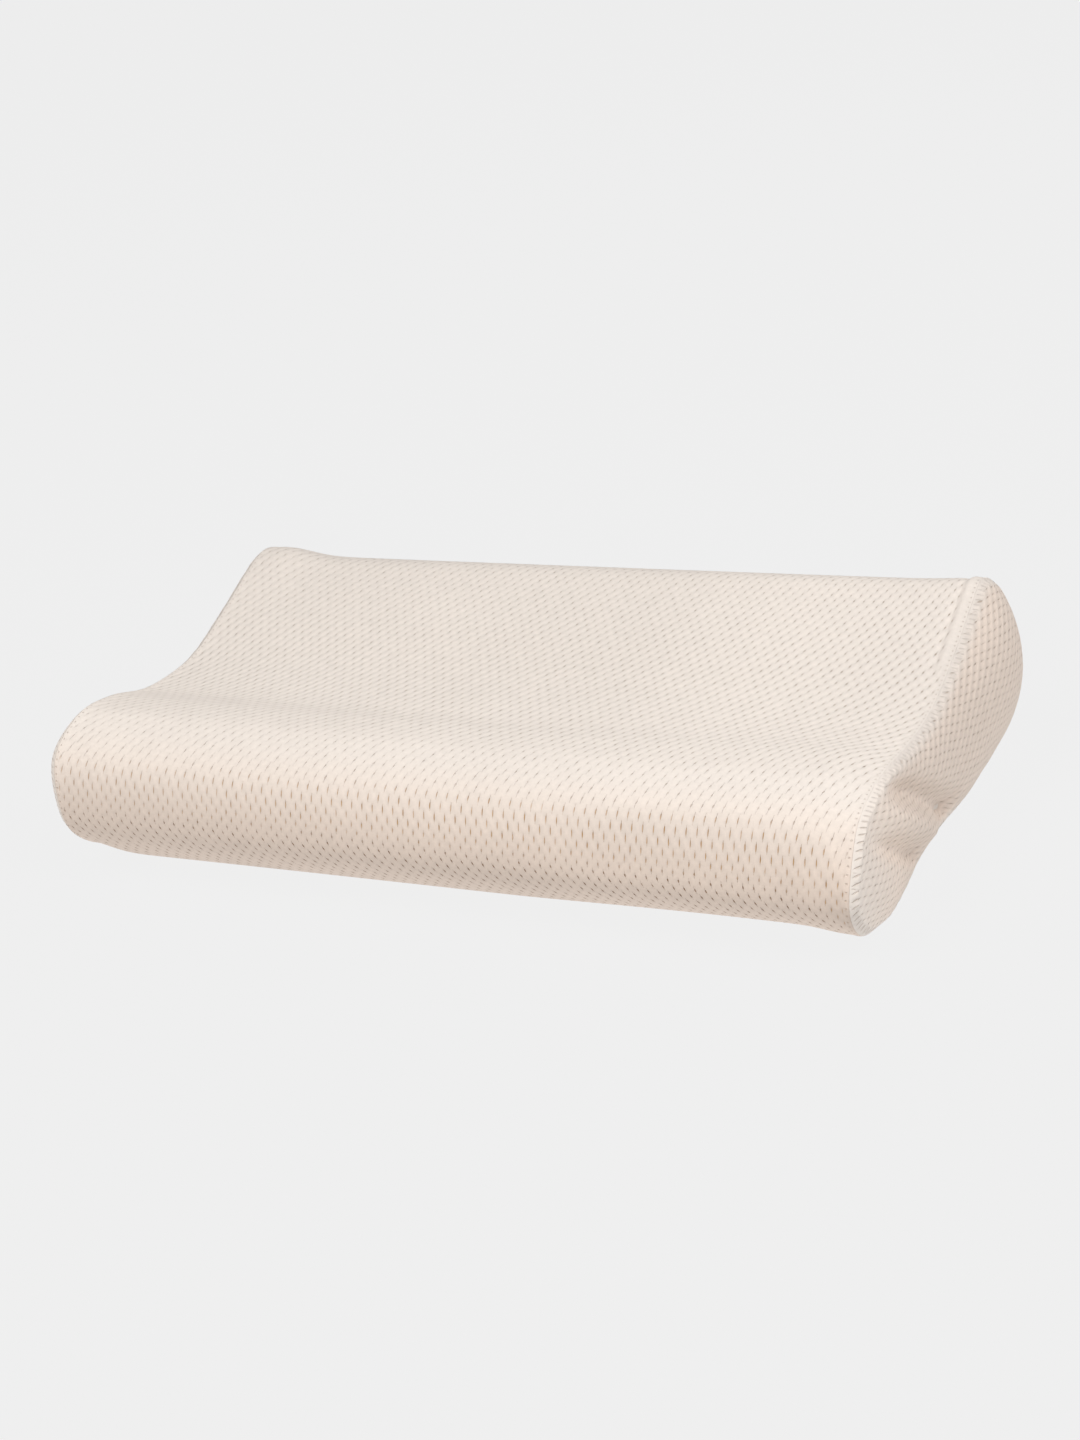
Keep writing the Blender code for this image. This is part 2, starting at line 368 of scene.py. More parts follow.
def padWaves(column, row, rising, falling, cosine):
    # rising * cos(2 pi (column - row / 2)) + falling * cos(2 pi (column + row / 2)): 1 at each slit, least on
    # the pads
    first = cosine((column - row * 0.5) * (2 * pi)) * rising
    return first + cosine((column + row * 0.5) * (2 * pi)) * falling


# What the cover and the panels each set for their knit. A length is that of the cloth round the section from
# the front nose, and on a panel it is that of the nearest place on the seam.
#   tight: the middle of the band that is pulled tight, and half the band
#   bandDrop: start and end along X of each step by which the band sinks, and how far
#   turnedUnder: where the cloth starts to turn under, and where it has turned
#   stitches: how far from the seam they are, their lean, their width over their length, how much they show,
#     the lengths between which they do, and the fade beyond
#   pads: strength of the rising and of the falling wave
#   padStrength: strength of both at first, then the start, the end and the change of each step of it
#   measure: whether the stepped lightness and the painted warm shade go by the length or by Y
#   toneAndPaintedShade: lightness of the cloth, in the same steps, which paint light and shade into it
#   paintedShadeAcross: start and end along X of another change of the lightness, the change, and what is added
#       where the
#     cloth is tight; a painted light and shade, lighter towards the right end and darker on the tight band
#     there
#   warmShadeAt: middle of the cool cloth, and how far from there it starts and ends warming, a painted warm
#       shade
#   warmShadeFromSeam: where the painted warm shade starts and ends by the distance from the seam
#   warmShadeShare: most of the warm colour, which is a painted warm shade
#   showGain: gain of the slits in the middle of the pillow, and its rise along X for each metre

def knitFinish(name, settings):
    knit = knitSettings
    bench = Bench(name)
    split = {"Vector": bench.add("ShaderNodeUVMap", {"uv_map": "clothLay"}, {})}
    u = bench.add("ShaderNodeSeparateXYZ", {}, split, 0) / mm
    v = bench.add("ShaderNodeSeparateXYZ", {}, split, 1) / mm
    seam = (bench.add("ShaderNodeAttribute", {"attribute_name": key}, {}, 2) for key in seamNames)
    fromSeam, length, patterned = seam
    place = bench.add("ShaderNodeTexCoord", {}, {}, 3)
    x, y = (bench.add("ShaderNodeSeparateXYZ", {}, {"Vector": place}, axis) for axis in (0, 1))
    measure = {"length": length, "y": y / mm}[settings["measure"]]
    noises = ("broad", "mottle", "fine", "yarn")
    broad, mottle, fine, yarn = (bench.noise(place, *knit[key]) - 0.5 for key in noises)
    column = u / knit["columnPitch"]
    row = v / knit["rowPitch"]

    # pulled: 1 - (distance from the middle of the tight band / half the band)^2, none outside it
    sunk = length
    for start, end, drop in settings["bandDrop"]:
        sunk = sunk + x.ramp(start * mm, end * mm) * drop
    inBand = (sunk - settings["tight"][0]) / settings["tight"][1]
    pulled = (1.0 - inBand * inBand).within(0.0, 1.0)

    def between(key):
        relaxed, tight = knit[key]
        return pulled * (tight - relaxed) + relaxed

    under = sunk.ramp(*settings["turnedUnder"])

    def stepped(key, measure):
        first, *steps = settings[key]
        value = bench.number(first)
        for start, end, change in steps:
            value = value + measure.ramp(start, end) * change
        return value

    # across and along: millimetres from the middle of the nearest slit
    rowNumber = row.nearest()
    odd = rowNumber.step("FLOORED_MODULO", 2.0)
    shifted = column + odd * 0.5
    along = (row - rowNumber) * knit["rowPitch"]
    strength = stepped("padStrength", length)
    weakened = strength * knit["slitFollow"] + (1.0 - knit["slitFollow"])
    loose = weakened * knit["slitLength"][0] + under * knit["slitLengthUnder"]
    lean = between("slitLean") + under * knit["slitLeanUnder"]
    across = (shifted - shifted.nearest()) * knit["columnPitch"] - along * lean
    part = along / ((loose + (knit["slitLength"][1] - loose) * pulled) * 0.5)
    opening = (1.0 - part * part).within(0.0, 1.0) ** 0.5
    halfWidth = opening * between("slitWidth") * 0.5
    slit = (halfWidth - across.size()).ramp(-knit["slitEdge"], knit["slitEdge"]) * patterned
    usual, most = knit["slitUneven"]
    slit = slit * (mottle * knit["slitGrain"] + usual).within(0.0, most)

    # the waves below paint shade between the knit's pads into its colour, lighter on the pads, and give the
    # bump its relief
    # where the cloth is tight only the falling wave is added
    waves = padWaves(column, row, *settings["pads"], lambda wire: wire.step("COSINE")) * strength
    tightWave = ((column + row * 0.5) * (2 * pi)).step("COSINE") * pulled * knit["tightPads"]
    waves = (waves + tightWave) * patterned
    # painted warm shade: warmer away from the middle of the cool cloth and away from the seam
    middle, start, end = settings["warmShadeAt"]
    paintedWarmShade = (measure - middle).size().ramp(start, end) * fromSeam.ramp(*settings["warmShadeFromSeam"])

    # small holes of the seam's stitches, long and leaning on the panels: 1 in a hole, 0 beyond its edge
    at, lean, narrowing, show, start, end, fade = settings["stitches"]
    stitch = length / knit["stitchPitch"]
    toRow = fromSeam - at
    toHole = (stitch - stitch.nearest()) * knit["stitchPitch"] - toRow * lean
    toRow = toRow * narrowing
    stitched = length.ramp(start - fade, start) * (1.0 - length.ramp(end, end + fade)) * show
    hole = 1.0 - ((toHole * toHole + toRow * toRow) ** 0.5).ramp(*knit["stitchSize"])

    # the cream, turned towards the painted warm shade
    cloth = bench.blend(paintedWarmShade * settings["warmShadeShare"], knit["cream"], knit["warmShadeCream"])
    uneven = broad + mottle + fine * knit["grain"]
    # painted light and shade across X: lighter towards the right end, darker where the cloth is tight there
    start, end, change, tightChange = settings["paintedShadeAcross"]
    paintedShadeAcross = x.ramp(start * mm, end * mm) * (pulled * tightChange + change)
    # painted light and shade: the stepped lightness and the change across X, less the knit's painted pad shade
    # and random unevenness
    shading = stepped("toneAndPaintedShade", measure) + paintedShadeAcross - knit["paintedPadShadeAndMottle"] * (waves * 0.5 + 0.5 + uneven)
    # painted highlight on the smooth band beside the seam
    shading = shading + knit["hemHighlight"] * (1.0 - patterned)
    # the cream with the painted light and shade multiplied in
    shade = bench.add("ShaderNodeCombineColor", {}, {0: shading, 1: shading, 2: shading})
    pads = bench.blend(1.0, cloth, shade, "MULTIPLY")

    # how much of the layer under the knit is seen
    gain = x * settings["showGain"][1] + settings["showGain"][0]
    relaxed = weakened * gain * knit["slitShow"][0]
    tight = (gain * knit["tightGain"]).within(0.0, 1.0) * knit["slitShow"][1]
    seen = slit * (relaxed + (tight - relaxed) * pulled + under * knit["slitShowUnder"])
    shown = seen.step("MAXIMUM", hole * stitched).within(0.0, 1.0)
    beneath = bench.blend(pulled.ramp(0.0, knit["underFull"]), *knit["under"])
    bench.plug(bench.shader.inputs["Base Color"], bench.blend(shown, pads, beneath))
    bench.plug(bench.shader.inputs["Roughness"], knit["roughness"])
    bench.plug(bench.shader.inputs["Sheen Weight"], knit["sheen"])
    bench.plug(bench.shader.inputs["Sheen Roughness"], knit["sheenRoughness"])
    bench.plug(bench.shader.inputs["Specular IOR Level"], knit["specular"])
    holes = slit.step("MAXIMUM", hole) * knit["slitDepth"]
    height = yarn * knit["yarnRelief"] - holes - waves * knit["padRelief"]
    bump = bench.add("ShaderNodeBump", {}, {"Strength": 1.0, "Distance": mm, "Height": height})
    bench.plug(bench.shader.inputs["Normal"], bump)
    return bench.material


# The cover: one wrap of knit round the whole section, from seam to seam.

coverSettings = {
    "gap": 0.04,                  # half the gap between the cover's end and the panel's
    "spacing": 1.5,               # of the mesh's rings along X, and of the points round the section
    "seamSpacing": 0.5,           # of the rings at a seam
    "finerWithin": 16.0,
    "fineStations": 4001,         # along X, to place the rings
    "fullness": -0.3,             # of the cloth over the whole pillow, away from the seams
    "fullnessFade": 90,
    "grooveDepth": (0.05, 0.6),   # the cloth rolls down into each seam, and more so low on the front
    "grooveFade": 34,             # up and down from the front nose
    "grooveWidth": 1.1,
    "shoulder": 0.6,              # the turned-in edge makes a low shoulder beside the seam
    "shoulderWidth": 4.5,
    "padDepth": 0.08,             # relief of the knit's pads
    # right seam's inner ridge on the high slope: first key, last key, distance from the seam, width, height
    "ridge": (8.2, 11.8, 5.6, 2.3, 0.9),
    "valley": (8.2, 11.8, 10.0, 1.8, -0.8),
    "slopeEnds": 0.6,             # both fade over this share of a key at their ends
    # fuller inside the right seam over the low lobe: height, how far from the seam, how far in it fades, then
    # the lengths where it starts, is full, ends and has ended
    "fullEnd": (4.0, 17, 110, -28, 18, 112, 165),
    "puckerPitch": 9.5,
    "puckerHeight": 0.08,
    "puckerFade": 7.0,
    "puckerUneven": (1.3, 23),    # how far their pitch wanders, and over which length
    # how the cloth lies, at even steps of the section's length from the front sole over the top, laySteps
    # round: v in the middle, its tilt and its bow along X, then the same three of what is added to u of the
    # columns; both come from a scratch fit to the pitch and direction of the photograph's slits
    "laySteps": 18,
    "lay": (
        (-139.0, -4.1, 1.4, 0.3, -1.1, 1.0),
        (-97.5, 4.9, -6.1, 0.1, -0.9, 1.1),
        (-54.0, 8.8, -10.7, 0.1, -1.3, 1.6),
        (1.1, 8.8, -10.5, -0.2, 1.8, -2.1),
        (38.9, 7.7, -11.3, -0.1, 5.0, -6.7),
        (79.3, -1.5, -13.2, 1.2, 6.2, -8.6),
        (107.4, -2.3, 7.8, 6.2, 5.3, -15.8),
        (145.9, 2.4, 11.5, 6.2, 3.6, -16.3),
        (197.0, 7.2, 0.9, -0.4, 3.4, -7.9),
        (249.1, 7.4, -8.6, -6.1, 5.3, -3.3),
        (299.6, 9.3, -15.1, -7.0, 5.9, -0.1),
    ),
    "columns": (-103.8, 236.3, 8.2, 3.1),   # u in powers of x / layHalf
    "layHalf": 240,
    "rowsRound": 124,             # rows once round the section, an even number, so that they meet underneath
    "tight": (25, 18),
    "bandDrop": ((180, 222, 6), (218, 242, 26)),
    "stitches": (1.6, 0.0, 1.0, 0.22, -900, 900, 1),
    "pads": (0.75, 0.25),
    "padStrength": (0.35, (58, 105, 0.65), (200, 290, -0.30)),
    # painted shade darker underneath and from the valley back, painted light over the front and the low lobe
    "toneAndPaintedShade": (0.94, (-50, -25, 0.05), (-5, 45, 0.05), (120, 215, -0.06)),
    # painted light towards the right end, painted shade on the tight band there
    "paintedShadeAcross": (30, 130, 0.03, -0.09),
    "turnedUnder": (15, 0),
    # from the seam to where the pattern starts, more on the ridge, width of its fade
    "hem": (1.5, 4.5, 2.5),
    "measure": "length",
    # painted warm shade over the lower front and the lower back, full underneath
    "warmShadeAt": (260, 192, 262),
    "warmShadeFromSeam": (-2, -1),
    "warmShadeShare": 1.0,
    "showGain": (1.1, 1.3),
}


def clothLayOn(x, length, whole):
    # u = columns(h) + u0 + u1 h + u2 h^2 and v = v0 + v1 h + v2 h^2 for h = x / layHalf. The six numbers run
    # through the rows of the lay, then evenly on to the first row again. They are measured along the cloth, so
    # that its slits keep their pitch in u and v although the cloth is pulled about on the pillow
    settings = coverSettings
    steps = settings["laySteps"]
    lay = np.array(settings["lay"])
    turn = np.array([settings["rowsRound"] * knitSettings["rowPitch"], 0, 0, 0, 0, 0])
    share = np.linspace(0, 1, steps - len(lay) + 2)[1:-1, None]
    ring = np.vstack([lay, lay[-1] * (1 - share) + (lay[0] + turn) * share])
    ring = np.vstack([ring[-1:] - turn, ring, ring[:3] + turn])
    numbers = outlinePoint(ring, (length - length[0]) / whole * steps + 1)
    h = x / settings["layHalf"]
    powers = np.stack([np.ones_like(h), h, h * h], axis=-1)
    v = (powers * numbers[:, :3]).sum(axis=-1)
    u = np.polynomial.polynomial.polyval(h, settings["columns"]) + (powers * numbers[:, 3:]).sum(axis=-1)
    return u, v, turn[0]


def grooveAt(length):
    # depth of the seam's groove: depth + extra * exp(-(length from the front nose / fade)^2)
    depth, extra = coverSettings["grooveDepth"]
    return depth + extra * np.exp(-((length / coverSettings["grooveFade"]) ** 2))


def coverStations():
    # places of the rings along X: closer together near the seams
    settings = coverSettings
    end = sectionSettings["seamX"] - settings["gap"]
    x = np.linspace(-end, end, settings["fineStations"])
    share = np.clip((sectionSettings["seamX"] - np.abs(x)) / settings["finerWithin"], 0, 1)
    spacing = settings["seamSpacing"] + (settings["spacing"] - settings["seamSpacing"]) * share
    number = np.concatenate([[0.0], np.cumsum(np.diff(x) / (0.5 * (spacing[1:] + spacing[:-1])))])
    return np.interp(np.linspace(0, number[-1], int(number[-1]) + 2), number, x)


def makeCover():
    settings = coverSettings
    count = len(outlineNames)
    x = coverStations()
    # rings start under the pillow, at the front sole; length is measured up from the front nose
    sole = outlineNames.index("front sole")
    whole = finePlaces(sole, count)[1][-1]
    around = int(whole / settings["spacing"])
    length = whole * np.arange(around) / around + lengthFromNose(sole)
    place = evenPlaces(sole, sole, around)

    inwards = sectionSettings["seamX"] - np.abs(x)
    fullness = settings["fullness"] * (1.0 - np.exp(-((inwards / settings["fullnessFade"]) ** 2)))
    shoulder = settings["shoulder"] * np.exp(-((inwards / settings["shoulderWidth"]) ** 2))
    groove = np.exp(-((inwards / settings["grooveWidth"]) ** 2))
    offset = (fullness + shoulder)[:, None] - groove[:, None] * grooveAt(length)

    fromRight = sectionSettings["seamX"] - x[:, None]
    at, ends = place % count, settings["slopeEnds"]
    for key in ("ridge", "valley"):
        first, last, distance, width, height = settings[key]
        onSlope = eased(at, first, first + ends) * (1 - eased(at, last - ends, last))
        offset += height * onSlope * np.exp(-(((fromRight - distance) / width) ** 2))

    height, near, fade, start, full, end, ended = settings["fullEnd"]
    over = eased(length, start, full) * (1 - eased(length, end, ended))
    offset += height * over * (1 - np.exp(-((fromRight / near) ** 2))) * np.exp(-((fromRight / fade) ** 2))

    wander, stretch = settings["puckerUneven"]
    pucker = np.cos(2 * pi * length / settings["puckerPitch"] + wander * np.sin(length / stretch))
    offset += settings["puckerHeight"] * pucker * np.exp(-((inwards / settings["puckerFade"]) ** 2))[:, None]

    u, v, wrap = clothLayOn(x[:, None], length, whole)
    start, onRidge, fade = settings["hem"]
    patterned = np.clip((inwards[:, None] - start - onRidge * onSlope * (x[:, None] > 0)) / fade, 0, 1)
    strength = settings["padStrength"][0]
    for start, end, change in settings["padStrength"][1:]:
        strength = strength + change * np.clip((length - start) / (end - start), 0, 1)
    waves = padWaves(u / knitSettings["columnPitch"], v / knitSettings["rowPitch"], *settings["pads"], np.cos)
    offset -= settings["padDepth"] * waves * strength * patterned

    ring = sectionAt(x, place, offset)
    points = np.concatenate([np.broadcast_to(x[:, None, None], (*ring.shape[:2], 1)), ring], axis=-1)
    lay = np.stack([u, v], axis=-1)

    faces = gridFaces(0, around, len(x), True)[:, ::-1]
    # each end is closed by a fan of triangles round its middle
    centres = np.array([[end, 0.0, sectionSettings["middleHeight"]] for end in (x[0], x[-1])])
    here = np.arange(around)
    after = (here + 1) % around
    left = np.full(around, len(x) * around)
    right, base = left + 1, (len(x) - 1) * around
    leftCap = np.stack([here, after, left, left], -1)
    rightCap = np.stack([base + after, base + here, right, right], -1)
    flat = np.concatenate([np.zeros(len(faces), bool), np.ones(2 * around, bool)])
    allPoints = np.vstack([points.reshape(-1, 3), centres])
    allLay = np.vstack([lay.reshape(-1, 2), [[0.0, 0.0], [0.0, 0.0]]])
    allFaces = np.vstack([faces, leftCap, rightCap])
    seamLay = [np.repeat(inwards, around), np.tile(length, len(x)), patterned.ravel()]
    seamLay = [np.append(values, [0, 0]) for values in seamLay]
    knit = knitFinish("coverKnit", settings)
    return makePiece("pillowCover", allPoints, allFaces, allLay, seamLay, flat, knit, wrap)


cover = makeCover()
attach(cover, "root")
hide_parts("pillow_body")
print("cover made,", len(cover.data.polygons), "faces")


# The end panels: domed pieces of the same knit, laid the other way.

panelSettings = {
    "across": 200,                # faces from front to back
    "up": 72,                     # faces from the underside to the top
    "rimDepth": 4.0,
    "rimInset": 3.2,
    "rimRise": 0.25,
    # the edge of the panel's face lies higher than its seam on the underside: side, y, width, lift
    "rimLift": ((1, -60, 300, 3.6), (1, -46, 20, 2.6), (1, 68, 18, 2.0), (-1, 0, 300, 2.0)),
    "rimRings": 8,
    "rimLay": 0.7,                # cloth laid on for each ring
    # share of the way from front to back, crown of the left panel, crown of the right panel
    "crown": ((0.0, 4, 5), (0.25, 5, 7), (0.5, 7, 9), (0.72, 10, 17), (0.9, 11, 25), (1.0, 10, 24)),
    "acrossPower": 4.0,
    "upPower": (1.7, 2.4),        # below and above the middle
    # folds: side, start y, start z, end y, end z, width, depth (a ridge where it is negative)
    "folds": (
        (1, -84, 74, 6, 20, 8.5, 8.5),
        (1, -104, 68, -36, 26, 7, -3.2),
        (1, -122, 60, -58, 22, 6.5, 6.0),
        (1, -130, 38, -92, 10, 9, -2.0),
        (1, 0, 16, 30, 4, 9, 1.8),
        (1, 40, 62, 96, 28, 20, 1.4),
        (-1, -94, 66, -14, 32, 10, 2.2),
        (-1, -36, 24, 66, 14, 9, 1.6),
    ),
    "fullCrown": 5.0,             # folds have their full depth from this crown
    "padDepth": 0.10,
    # the cloth is turned: pitch on the panel, and direction in degrees up from the line that runs to the back
    "columns": (5.2, -86),
    "rows": (5.7, 14),
    "tight": (-900, 1),
    "bandDrop": (),
    "stitches": (3.0, 0.9, 0.42, 0.3, -30, 35, 30),
    "pads": (0.3, 1.0),
    "padStrength": (1.05,),
    # painted light: the panel lighter at its front, darker from there back
    "toneAndPaintedShade": (1.11, (-118, -52, -0.12)),
    "paintedShadeAcross": (0, 1, 0.0, 0.0),
    "turnedUnder": (-900, -901),
    # from the seam to where the pattern starts, more near this length over this width, width of its fade
    "hem": (0.5, 3.5, 48, 24, 3.0),
    "measure": "y",
    # painted warm shade over the panel, less towards its front, none at its seam
    "warmShadeAt": (-200, 20, 120),
    "warmShadeFromSeam": (0, 10),
    "warmShadeShare": 0.8,
    "showGain": (1.0, 0.0),
}


def coonsGrid(front, top, back, under):
    # across * up blend of the four sides less the blend of the corners: the first row lies on the underside
    u = np.linspace(0, 1, top.shape[0])[None, :, None]
    v = np.linspace(0, 1, front.shape[0])[:, None, None]
    sides = under[None] * (1 - v) + top[None] * v + front[:, None] * (1 - u) + back[:, None] * u
    return sides - ((under[0] * (1 - u) + under[-1] * u) * (1 - v) + (top[0] * (1 - u) + top[-1] * u) * v)


def panelSides(ring, across, up):
    # splits a ring of 2 * (across + up) points into the four sides of a panel
    front = ring[: up + 1]
    top = ring[up : up + across + 1]
    back = ring[up + across : 2 * up + across + 1][::-1]
    under = np.vstack([ring[2 * up + across :], ring[:1]])[::-1]
    return front, top, back, under


def foldsAt(grid, side):
    # sum of depth * exp(-(distance from the fold's line / width)^2)
    depth = np.zeros(grid.shape[:2])
    for foldSide, y0, z0, y1, z1, width, fold in panelSettings["folds"]:
        if foldSide == side:
            start, run = np.array([y0, z0]), np.array([y1 - y0, z1 - z0])
            share = np.clip(((grid - start) @ run) / (run @ run), 0, 1)
            away = np.linalg.norm(grid - start - share[..., None] * run, axis=-1) / width
            depth += fold * np.exp(-away**2)
    return depth


def makePanel(name, node, side):
    settings = panelSettings
    across, up = settings["across"], settings["up"]
    corners = [outlineNames.index(corner) for corner in sectionSettings["panelCorners"]]
    steps = (up, across, up, across)
    place = np.concatenate([evenPlaces(corners[i], corners[(i + 1) % 4], steps[i]) for i in range(4)])
    seamX = sectionSettings["seamX"]
    bottom = seamX + coverSettings["gap"]

    # the rim rolls out of the seam: a quarter round from the seam's groove up to the face of the panel
    ringLength = lengthFromNose(place)
    shoulder = coverSettings["shoulder"] - grooveAt(ringLength)
    rings = []
    for turn in np.linspace(0, pi / 2, settings["rimRings"] + 1):
        level = shoulder + settings["rimRise"] * sin(turn) - settings["rimInset"] * (1 - cos(turn))
        ring = sectionAt(np.array([side * seamX]), place, level)[0]
        lift = np.zeros(len(ring))
        for liftSide, y, width, most in settings["rimLift"]:
            if liftSide == side:
                lift += most * np.exp(-(((ring[:, 0] - y) / width) ** 2))
        ring[:, 1] += lift * (1 - cos(turn)) * np.clip(1 - ring[:, 1] / sectionSettings["liftHeight"], 0, 1)
        rings.append((bottom + settings["rimDepth"] * (1 - cos(turn)), ring))
    faceRing = rings.pop()[1]
    grid = coonsGrid(*panelSides(faceRing, across, up))

    share, left, right = np.array(settings["crown"]).T
    u = np.linspace(0, 1, across + 1)[None, :]
    v = np.linspace(-1, 1, up + 1)[:, None]
    upPower = np.where(v < 0, *settings["upPower"])
    dome = (1 - np.abs(2 * u - 1) ** settings["acrossPower"]) * (1 - np.abs(v) ** upPower)
    crown = dome * np.interp(u, share, left if side < 0 else right)
    out = crown - foldsAt(grid, side) * np.clip(crown / settings["fullCrown"], 0, 1)
    x = side * (bottom + settings["rimDepth"] + out)
    face = np.concatenate([x[..., None], grid], axis=-1)

    # the side that each point of the face is nearest to gives its length along the seam
    backwards, upwards = np.arange(across + 1), np.arange(up + 1)
    sideNumbers = (upwards, up + backwards, 2 * up + across - upwards, 2 * (up + across) - backwards)
    front, top, back, under = (ringLength[numbers % len(place)] for numbers in sideNumbers)

    # cloth laid over the dome: u and v are lengths along the face's own rows and columns from its middle
    alongU = np.cumsum(np.linalg.norm(np.diff(face, axis=1, prepend=face[:, :1]), axis=-1), axis=1)
    alongV = np.cumsum(np.linalg.norm(np.diff(face, axis=0, prepend=face[:1]), axis=-1), axis=0)
    lay = np.stack([alongU - alongU[:, across // 2, None], alongV - alongV[up // 2]], axis=-1)
    away = np.stack([alongU, alongV[-1] - alongV, alongU[:, -1:] - alongU, alongV])
    fromSeam = away.min(axis=0) + settings["rimDepth"]
    sides = (front[:, None], top[None], back[:, None], under[None])
    lengths = np.stack([np.broadcast_to(length, alongU.shape) for length in sides])
    alongSeam = np.take_along_axis(lengths, away.argmin(axis=0)[None], axis=0)[0]
    start, more, middle, width, fade = settings["hem"]

    def patternAt(distance, length):
        return np.clip((distance - start - more * np.exp(-(((length - middle) / width) ** 2))) / fade, 0, 1)

    # column and row number = distance in its own direction / its pitch; the left panel is the mirror image
    numbers = []
    for pitch, direction in (settings["columns"], settings["rows"]):
        turn = radians(direction)
        numbers.append((lay[..., 0] * cos(turn) + lay[..., 1] * sin(turn)) / pitch)
    waves = padWaves(*numbers, *settings["pads"], np.cos)
    face[..., 0] -= side * settings["padDepth"] * patternAt(fromSeam, alongSeam) * waves
    lay = np.stack([numbers[0] * knitSettings["columnPitch"], numbers[1] * knitSettings["rowPitch"]], axis=-1)

    # points: the face row by row, the rings of the rim from the face down to the seam, and the seam's middle
    total = (across + 1) * (up + 1)
    number = np.arange(total).reshape(up + 1, across + 1)
    edge = np.concatenate([number[:-1, 0], number[-1, :-1], number[:0:-1, -1], number[0, :0:-1]])
    count = len(place)
    ringPoints = [np.column_stack([np.full(count, side * at), ring]) for at, ring in reversed(rings)]
    ringNumbers = [edge] + [total + count * i + np.arange(count) for i in range(len(rings))]
    centre = total + count * len(rings)
    middlePoint = [side * bottom, 0.0, sectionSettings["middleHeight"]]
    points = np.vstack([face.reshape(-1, 3), *ringPoints, [middlePoint]])
    edgeLay = lay[edge // (across + 1), edge % (across + 1)]
    outwards = edgeLay / np.linalg.norm(edgeLay, axis=1)[:, None]
    lays = [edgeLay + outwards * settings["rimLay"] * (i + 1) for i in range(len(rings))]
    allLay = np.vstack([lay.reshape(-1, 2), *lays, [[0.0, 0.0]]])
    onRim = np.repeat(np.linspace(settings["rimDepth"], 0, len(rings) + 1)[1:], count)
    seamLay = [
        np.concatenate([fromSeam.ravel(), onRim, [0.0]]),
        np.concatenate([alongSeam.ravel(), np.tile(ringLength, len(rings)), [0.0]]),
    ]
    seamLay.append(patternAt(*seamLay))

    faces = [gridFaces(0, across + 1, up + 1, False)[:, :: side]]
    for nearer, further in zip(ringNumbers, ringNumbers[1:]):
        quads = np.stack([nearer, np.roll(nearer, -1), np.roll(further, -1), further], -1)
        faces.append(quads[:, :: side])
    last = ringNumbers[-1]
    fan = np.stack([last, np.roll(last, -1), np.full(count, centre)], -1)[:, :: side]
    faces.append(np.column_stack([fan, fan[:, 2]]))
    flat = np.concatenate([np.zeros(sum(len(part) for part in faces[:-1]), bool), np.ones(count, bool)])
    knit = knitFinish(name + "Knit", settings)
    piece = makePiece(name, points, np.vstack(faces), allLay, seamLay, flat, knit)
    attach(piece, "root")
    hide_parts(node)
    return piece


rightPanel = makePanel("endPanelRight", "end_panel_right", 1)
leftPanel = makePanel("endPanelLeft", "end_panel_left", -1)
print("end panels made,", len(rightPanel.data.polygons) + len(leftPanel.data.polygons), "faces")


# The studio: a pale floor, soft light and the camera at the photograph's angle.

studioSettings = {
    "floorSize": 60.0,            # metres
    "floorColour": colour(239, 239, 239),
    "floorGlow": 0.98,            # share of the floor's brightness that doesn't take shadows
    "floorRoughness": 0.9,
    "skyColour": (0.98, 0.99, 1.0, 1.0),
    "skyStrength": 0.05,
    # name: place in metres, size in metres, power in watts, colour
    "lights": {
        "keyLight": ((-0.6, -1.2, 2.1), 1.2, 34.0, (1.0, 0.99, 0.975)),
        "sideLight": ((1.5, -0.3, 2.0), 1.2, 31.0, (1.0, 1.0, 1.0)),
        "backLight": ((0.2, 2.2, 1.6), 1.5, 9.0, (0.96, 0.98, 1.0)),
    },
    "lightAim": (0, 0, 0.05),
    "cameraAim": (-0.0037, 0.0044, 0.0545),
    "cameraDistance": 1.458,
    "cameraAzimuth": 27.196,      # round from the front towards the right end, in degrees
    "cameraElevation": 22.624,
    "cameraRoll": -7.228,
    "cameraLens": 61.43,
    "sensorWidth": 36.0,
    "cameraReach": 200.0,         # metres
}


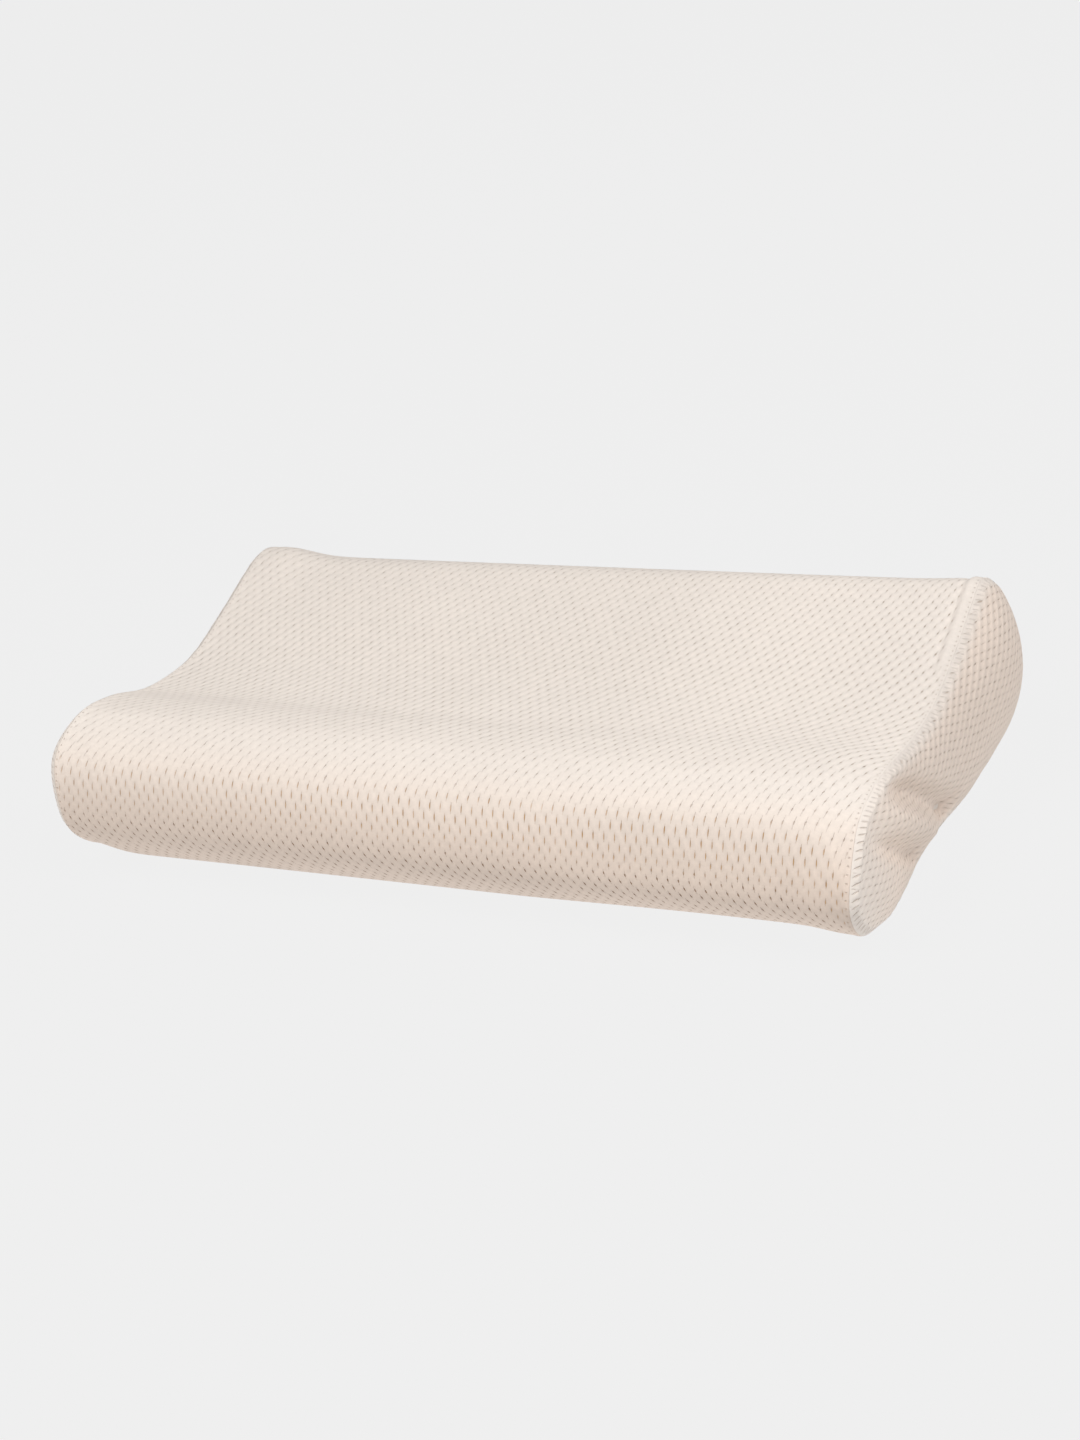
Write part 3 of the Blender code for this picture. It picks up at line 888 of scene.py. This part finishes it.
def makeFloor():
    half = studioSettings["floorSize"] / 2
    mesh = bpy.data.meshes.new("floor")
    corners = [(-half, -half, 0), (half, -half, 0), (half, half, 0), (-half, half, 0)]
    mesh.from_pydata(corners, [], [(0, 1, 2, 3)])
    floor = bpy.data.objects.new("floor", mesh)
    scene.collection.objects.link(floor)
    bench = Bench("paleFloor")
    tint = studioSettings["floorColour"]
    bench.plug(bench.shader.inputs["Base Color"], tint)
    bench.plug(bench.shader.inputs["Roughness"], studioSettings["floorRoughness"])
    bench.plug(bench.shader.inputs["Specular IOR Level"], 0.0)
    glow = bench.add("ShaderNodeEmission", {}, {"Color": tint, "Strength": 1.0})
    base = Wire(bench, bench.shader.outputs[0])
    mixed = bench.add("ShaderNodeMixShader", {}, {0: studioSettings["floorGlow"], 1: base, 2: glow})
    bench.tree.links.new(mixed.socket, bench.tree.nodes["Material Output"].inputs["Surface"])
    mesh.materials.append(bench.material)


def makeLights():
    sky = scene.world or bpy.data.worlds.new("studioSky")
    scene.world = sky
    sky.use_nodes = True
    backdrop = sky.node_tree.nodes.get("Background") or sky.node_tree.nodes.new("ShaderNodeBackground")
    backdrop.inputs["Color"].default_value = studioSettings["skyColour"]
    backdrop.inputs["Strength"].default_value = studioSettings["skyStrength"]
    for name, (place, size, power, tint) in studioSettings["lights"].items():
        lamp = bpy.data.lights.new(name, "AREA")
        lamp.shape = "SQUARE"
        lamp.size, lamp.energy, lamp.color = size, power, tint
        light = bpy.data.objects.new(name, lamp)
        light.location = place
        aim = Vector(studioSettings["lightAim"]) - Vector(place)
        light.rotation_euler = aim.to_track_quat("-Z", "Y").to_euler()
        scene.collection.objects.link(light)


def makeCamera():
    # back: from the aim to the camera; side and up are turned about it by the roll
    turns = ("cameraAzimuth", "cameraElevation", "cameraRoll")
    azimuth, elevation, roll = (radians(studioSettings[key]) for key in turns)
    back = Vector((sin(azimuth) * cos(elevation), -cos(azimuth) * cos(elevation), sin(elevation)))
    level = Vector((cos(azimuth), sin(azimuth), 0.0))
    upright = back.cross(level)
    side = level * cos(roll) + upright * sin(roll)
    up = upright * cos(roll) - level * sin(roll)
    camera = bpy.data.objects.new("photoCamera", bpy.data.cameras.new("photoCamera"))
    place = Vector(studioSettings["cameraAim"]) + back * studioSettings["cameraDistance"]
    camera.matrix_world = Matrix.Translation(place) @ Matrix((side, up, back)).transposed().to_4x4()
    camera.data.lens = studioSettings["cameraLens"]
    camera.data.sensor_width = studioSettings["sensorWidth"]
    camera.data.clip_end = studioSettings["cameraReach"]
    scene.collection.objects.link(camera)
    scene.camera = camera


makeFloor()
makeLights()
makeCamera()
scene.view_settings.view_transform = "Standard"
print("floor, lights and camera placed")
